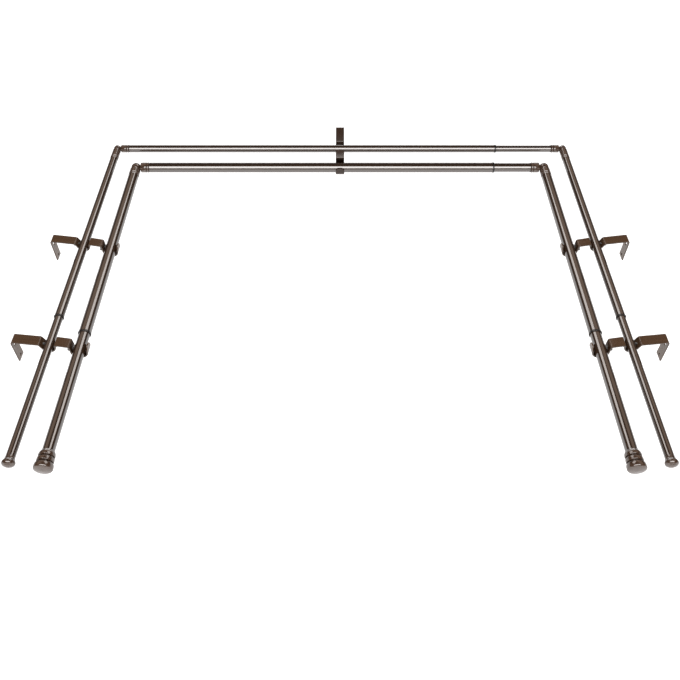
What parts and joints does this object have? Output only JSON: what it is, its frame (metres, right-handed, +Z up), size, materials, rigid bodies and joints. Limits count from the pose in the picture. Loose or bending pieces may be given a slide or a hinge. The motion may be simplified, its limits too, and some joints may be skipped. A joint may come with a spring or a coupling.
{
  "type": "wraparound double curtain rod",
  "caption": "Telescoping double curtain rod that wraps round three sides of a window, with knuckle elbows at the corners, capped ends and bent strap wall brackets.",
  "frame": {"origin": "on the wall face of the centre bracket, halfway up its plate between the two screw holes", "axes": "+X along the centre rods to the right as seen from the room, +Y towards the wall behind the window, +Z up"},
  "size_m": [1.058, 0.771, 0.0503],
  "materials": {
    "rod_bronze": "satin dark bronze lacquer over steel tube",
    "fitting_bronze": "satin dark bronze lacquer over cast fittings",
    "collar_black": "near-black moulded collar",
    "strap_brown": "satin brown powder coat",
    "screw_dark": "dark oxide"
  },
  "bodies": {
    "wall_side_left_half": {"rear_centre_outer_tube": "rod_bronze", "rear_centre_collar": "collar_black", "rear_left_elbow_socket": "fitting_bronze", "rear_left_elbow_pin": "fitting_bronze", "centre_bracket": "strap_brown"},
    "wall_side_right_half": {"rear_centre_inner_tube": "rod_bronze", "rear_right_elbow_socket": "fitting_bronze", "rear_right_elbow_pin": "fitting_bronze"},
    "room_side_left_half": {"front_centre_outer_tube": "rod_bronze", "front_centre_collar": "collar_black", "front_left_elbow_socket": "fitting_bronze", "front_left_elbow_pin": "fitting_bronze"},
    "room_side_right_half": {"front_centre_inner_tube": "rod_bronze", "front_right_elbow_socket": "fitting_bronze", "front_right_elbow_pin": "fitting_bronze"},
    "rear_left_arm": {"rear_left_elbow_knuckle": "fitting_bronze", "rear_left_outer_tube": "rod_bronze", "rear_left_collar": "collar_black", "left_far_bracket": "strap_brown"},
    "rear_left_arm_end": {"rear_left_inner_tube": "rod_bronze", "left_near_bracket": "strap_brown"},
    "front_left_arm": {"front_left_elbow_knuckle": "fitting_bronze", "front_left_outer_tube": "rod_bronze", "front_left_collar": "collar_black"},
    "front_left_arm_end": {"front_left_inner_tube": "rod_bronze"},
    "rear_left_cap": {"rear_left_end_cap": "fitting_bronze"},
    "front_left_cap": {"front_left_end_cap": "fitting_bronze"},
    "rear_right_arm": {"rear_right_elbow_knuckle": "fitting_bronze", "rear_right_outer_tube": "rod_bronze", "rear_right_collar": "collar_black", "right_far_bracket": "strap_brown"},
    "rear_right_arm_end": {"rear_right_inner_tube": "rod_bronze", "right_near_bracket": "strap_brown"},
    "front_right_arm": {"front_right_elbow_knuckle": "fitting_bronze", "front_right_outer_tube": "rod_bronze", "front_right_collar": "collar_black"},
    "front_right_arm_end": {"front_right_inner_tube": "rod_bronze"},
    "rear_right_cap": {"rear_right_end_cap": "fitting_bronze"},
    "front_right_cap": {"front_right_end_cap": "fitting_bronze"},
    "centre_rear_screw": {"centre_rear_set_screw": "screw_dark"},
    "centre_front_screw": {"centre_front_set_screw": "screw_dark"},
    "left_far_rear_screw": {"left_far_rear_set_screw": "screw_dark"},
    "left_far_front_screw": {"left_far_front_set_screw": "screw_dark"},
    "left_near_rear_screw": {"left_near_rear_set_screw": "screw_dark"},
    "left_near_front_screw": {"left_near_front_set_screw": "screw_dark"},
    "right_far_rear_screw": {"right_far_rear_set_screw": "screw_dark"},
    "right_far_front_screw": {"right_far_front_set_screw": "screw_dark"},
    "right_near_rear_screw": {"right_near_rear_set_screw": "screw_dark"},
    "right_near_front_screw": {"right_near_front_set_screw": "screw_dark"}
  },
  "joints": [
    {"name": "window_width", "type": "slide", "parent": "wall_side_left_half", "child": "wall_side_right_half", "axis": [1, 0, 0], "range_m": [-0.05, 0.5]},
    {"name": "left_elbow", "type": "hinge", "parent": "wall_side_left_half", "child": "rear_left_arm", "pos_m": [-0.471, -0.058, 0.012], "axis": [0, 0, -1], "range_deg": [0, 45]},
    {"name": "front_left_corner_shift", "type": "slide", "parent": "wall_side_left_half", "child": "room_side_left_half", "axis": [-1, 0, 0], "range_m": [0, 0.03]},
    {"name": "front_left_elbow", "type": "hinge", "parent": "room_side_left_half", "child": "front_left_arm", "pos_m": [-0.425, -0.104, -0.001], "axis": [0, 0, -1], "range_deg": [0, 45]},
    {"name": "left_extension", "type": "slide", "parent": "rear_left_arm", "child": "rear_left_arm_end", "axis": [0, -1, 0], "range_m": [-0.015, 0.13]},
    {"name": "front_left_extension", "type": "slide", "parent": "front_left_arm", "child": "front_left_arm_end", "axis": [0, -1, 0], "range_m": [-0.015, 0.13]},
    {"name": "rear_left_cap_turn", "type": "hinge", "parent": "rear_left_arm_end", "child": "rear_left_cap", "pos_m": [-0.471, -0.75, 0.012], "axis": [0, -1, 0], "continuous": true},
    {"name": "front_left_cap_turn", "type": "hinge", "parent": "front_left_arm_end", "child": "front_left_cap", "pos_m": [-0.425, -0.75, -0.001], "axis": [0, -1, 0], "continuous": true},
    {"name": "right_elbow", "type": "hinge", "parent": "wall_side_right_half", "child": "rear_right_arm", "pos_m": [0.471, -0.058, 0.012], "axis": [0, 0, 1], "range_deg": [0, 45]},
    {"name": "front_right_corner_shift", "type": "slide", "parent": "wall_side_right_half", "child": "room_side_right_half", "axis": [1, 0, 0], "range_m": [0, 0.03]},
    {"name": "front_right_elbow", "type": "hinge", "parent": "room_side_right_half", "child": "front_right_arm", "pos_m": [0.425, -0.104, -0.001], "axis": [0, 0, 1], "range_deg": [0, 45]},
    {"name": "right_extension", "type": "slide", "parent": "rear_right_arm", "child": "rear_right_arm_end", "axis": [0, -1, 0], "range_m": [-0.015, 0.13]},
    {"name": "front_right_extension", "type": "slide", "parent": "front_right_arm", "child": "front_right_arm_end", "axis": [0, -1, 0], "range_m": [-0.015, 0.13]},
    {"name": "rear_right_cap_turn", "type": "hinge", "parent": "rear_right_arm_end", "child": "rear_right_cap", "pos_m": [0.471, -0.75, 0.012], "axis": [0, -1, 0], "continuous": true},
    {"name": "front_right_cap_turn", "type": "hinge", "parent": "front_right_arm_end", "child": "front_right_cap", "pos_m": [0.425, -0.75, -0.001], "axis": [0, -1, 0], "continuous": true},
    {"name": "centre_rear_screw_turn", "type": "hinge", "parent": "wall_side_left_half", "child": "centre_rear_screw", "pos_m": [0, -0.058, 0.012], "axis": [0, -1, 0], "continuous": true},
    {"name": "centre_front_screw_turn", "type": "hinge", "parent": "wall_side_left_half", "child": "centre_front_screw", "pos_m": [0, -0.104, -0.001], "axis": [0, -1, 0], "continuous": true},
    {"name": "left_far_rear_screw_turn", "type": "hinge", "parent": "rear_left_arm", "child": "left_far_rear_screw", "pos_m": [-0.471, -0.335, 0.012], "axis": [1, 0, 0], "continuous": true},
    {"name": "left_far_front_screw_turn", "type": "hinge", "parent": "rear_left_arm", "child": "left_far_front_screw", "pos_m": [-0.425, -0.335, -0.001], "axis": [1, 0, 0], "continuous": true},
    {"name": "left_near_rear_screw_turn", "type": "hinge", "parent": "rear_left_arm_end", "child": "left_near_rear_screw", "pos_m": [-0.471, -0.559, 0.012], "axis": [1, 0, 0], "continuous": true},
    {"name": "left_near_front_screw_turn", "type": "hinge", "parent": "rear_left_arm_end", "child": "left_near_front_screw", "pos_m": [-0.425, -0.559, -0.001], "axis": [1, 0, 0], "continuous": true},
    {"name": "right_far_rear_screw_turn", "type": "hinge", "parent": "rear_right_arm", "child": "right_far_rear_screw", "pos_m": [0.471, -0.335, 0.012], "axis": [-1, 0, 0], "continuous": true},
    {"name": "right_far_front_screw_turn", "type": "hinge", "parent": "rear_right_arm", "child": "right_far_front_screw", "pos_m": [0.425, -0.335, -0.001], "axis": [-1, 0, 0], "continuous": true},
    {"name": "right_near_rear_screw_turn", "type": "hinge", "parent": "rear_right_arm_end", "child": "right_near_rear_screw", "pos_m": [0.471, -0.559, 0.012], "axis": [-1, 0, 0], "continuous": true},
    {"name": "right_near_front_screw_turn", "type": "hinge", "parent": "rear_right_arm_end", "child": "right_near_front_screw", "pos_m": [0.425, -0.559, -0.001], "axis": [-1, 0, 0], "continuous": true}
  ],
  "couplings": [
    {"joint": "front_left_corner_shift", "follows": "left_elbow", "m_per_rad": 0.0343},
    {"joint": "front_left_elbow", "follows": "left_elbow", "ratio": 1},
    {"joint": "front_left_extension", "follows": "left_extension", "ratio": 1},
    {"joint": "front_right_corner_shift", "follows": "right_elbow", "m_per_rad": 0.0343},
    {"joint": "front_right_elbow", "follows": "right_elbow", "ratio": 1},
    {"joint": "front_right_extension", "follows": "right_extension", "ratio": 1}
  ]
}
